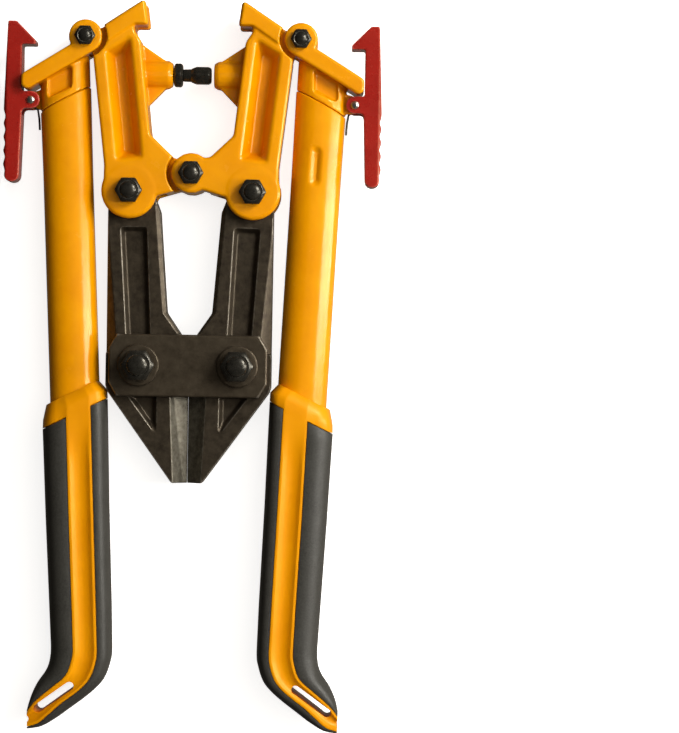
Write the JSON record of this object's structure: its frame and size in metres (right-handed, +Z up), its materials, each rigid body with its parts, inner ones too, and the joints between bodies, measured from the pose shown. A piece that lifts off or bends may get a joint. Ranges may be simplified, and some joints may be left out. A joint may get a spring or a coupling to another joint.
{
  "type": "folding bolt cutters",
  "caption": "Folding compound-lever bolt cutters, stowed: plated jaws, cast toggle arms, tubular handles folded beside them, sprung latches and wrapped grips.",
  "frame": {"origin": "centre of the bounding box's underside, on the surface that the folded tool lies on", "axes": "+Y along the folded tool away from the jaw tips, +Z up out of the surface, +X to the right seen from above"},
  "size_m": [0.1532, 0.295, 0.0374],
  "materials": {
    "forged_steel": "dark oiled forging, blades ground bright",
    "plate_steel": "dark oiled plate with brighter worn edges",
    "black_oxide": "glossy black oxide",
    "yellow_paint": "glossy yellow powder coat",
    "yellow_plastic": "moulded yellow plastic",
    "charcoal_rubber": "matte moulded rubber",
    "red_paint": "glossy red powder coat",
    "bright_steel": "bright zinc",
    "spring_steel": "dark spring wire"
  },
  "bodies": {
    "plates": {"jaw_plate_front": "plate_steel", "jaw_plate_back": "plate_steel", "jaw_bolt_left": "black_oxide", "jaw_bolt_right": "black_oxide", "jaw_washer_left": "plate_steel", "jaw_washer_right": "plate_steel", "jaw_nut_left": "black_oxide", "jaw_nut_right": "black_oxide"},
    "jaw_left": {"jaw_left": "forged_steel"},
    "jaw_right": {"jaw_right": "forged_steel"},
    "arm_left": {"arm_left": "yellow_paint", "tail_bolt_left": "black_oxide", "tail_nut_left": "black_oxide"},
    "arm_right": {"arm_right": "yellow_paint", "tail_bolt_right": "black_oxide", "tail_nut_right": "black_oxide", "centre_bolt": "black_oxide", "centre_nut": "black_oxide"},
    "stop_screw": {"stop_screw": "black_oxide"},
    "lock_nut": {"lock_nut": "black_oxide"},
    "fold_pin_left": {"fold_bolt_left": "black_oxide", "fold_nut_left": "black_oxide"},
    "fold_pin_right": {"fold_bolt_right": "black_oxide", "fold_nut_right": "black_oxide"},
    "handle_left": {"handle_end_left": "yellow_paint", "tube_left": "yellow_paint", "grip_core_left": "yellow_plastic", "grip_panel_outer_left": "charcoal_rubber", "grip_panel_inner_left": "charcoal_rubber", "latch_rivet_left": "bright_steel", "latch_spring_left": "spring_steel"},
    "handle_right": {"handle_end_right": "yellow_paint", "tube_right": "yellow_paint", "grip_core_right": "yellow_plastic", "grip_panel_outer_right": "charcoal_rubber", "grip_panel_inner_right": "charcoal_rubber", "latch_rivet_right": "bright_steel", "latch_spring_right": "spring_steel"},
    "latch_left": {"latch_left": "red_paint"},
    "latch_right": {"latch_right": "red_paint"}
  },
  "joints": [
    {"name": "opening", "type": "hinge", "parent": "jaw_left", "child": "arm_left", "pos_m": [-0.02495, 0.07074, 0.0166], "axis": [0, 0, -1], "range_deg": [-42.8, 0]},
    {"name": "jaw_turn_left", "type": "hinge", "parent": "plates", "child": "jaw_left", "pos_m": [-0.0199, 0.00034, 0.0166], "axis": [0, 0, 1], "range_deg": [-6.9, 0]},
    {"name": "jaw_turn_right", "type": "hinge", "parent": "plates", "child": "jaw_right", "pos_m": [0.0199, 0.00034, 0.0166], "axis": [0, 0, 1], "range_deg": [0, 6.9]},
    {"name": "arm_turn_right", "type": "hinge", "parent": "jaw_right", "child": "arm_right", "pos_m": [0.02495, 0.07074, 0.0166], "axis": [0, 0, 1], "range_deg": [-43, 0]},
    {"name": "fold_pin_turn_left", "type": "hinge", "parent": "arm_left", "child": "fold_pin_left", "pos_m": [-0.0435, 0.13274, 0.0166], "axis": [0, 0, 1], "range_deg": [-36.2, 0]},
    {"name": "fold_pin_turn_right", "type": "hinge", "parent": "arm_right", "child": "fold_pin_right", "pos_m": [0.0435, 0.13274, 0.0166], "axis": [0, 0, 1], "range_deg": [0, 36.2]},
    {"name": "fold_left", "type": "hinge", "parent": "fold_pin_left", "child": "handle_left", "pos_m": [-0.0435, 0.13274, 0.0166], "axis": [0, 0, -1], "range_deg": [0, 176.8]},
    {"name": "fold_right", "type": "hinge", "parent": "fold_pin_right", "child": "handle_right", "pos_m": [0.0435, 0.13274, 0.0166], "axis": [0, 0, 1], "range_deg": [0, 176.8]},
    {"name": "latch_left", "type": "hinge", "parent": "handle_left", "child": "latch_left", "pos_m": [-0.0656, 0.10694, 0.0166], "axis": [0, 0, 1], "range_deg": [0, 15], "stiffness_Nm_per_rad": 0.05, "springref_deg": -28.65},
    {"name": "latch_right", "type": "hinge", "parent": "handle_right", "child": "latch_right", "pos_m": [0.0656, 0.10694, 0.0166], "axis": [0, 0, -1], "range_deg": [0, 15], "stiffness_Nm_per_rad": 0.05, "springref_deg": -28.65},
    {"name": "stop_screw_travel", "type": "slide", "parent": "arm_left", "child": "stop_screw", "axis": [1, 0, 0], "range_m": [-0.003, 0.0008]},
    {"name": "lock_nut_travel", "type": "slide", "parent": "arm_left", "child": "lock_nut", "axis": [1, 0, 0], "range_m": [0, 0.003]}
  ],
  "couplings": [
    {"joint": "jaw_turn_left", "follows": "opening", "ratio": 0.1593},
    {"joint": "jaw_turn_right", "follows": "opening", "ratio": -0.1593},
    {"joint": "arm_turn_right", "follows": "opening", "ratio": 1},
    {"joint": "fold_pin_turn_left", "follows": "opening", "ratio": 0.8407},
    {"joint": "fold_pin_turn_right", "follows": "opening", "ratio": -0.8407}
  ]
}
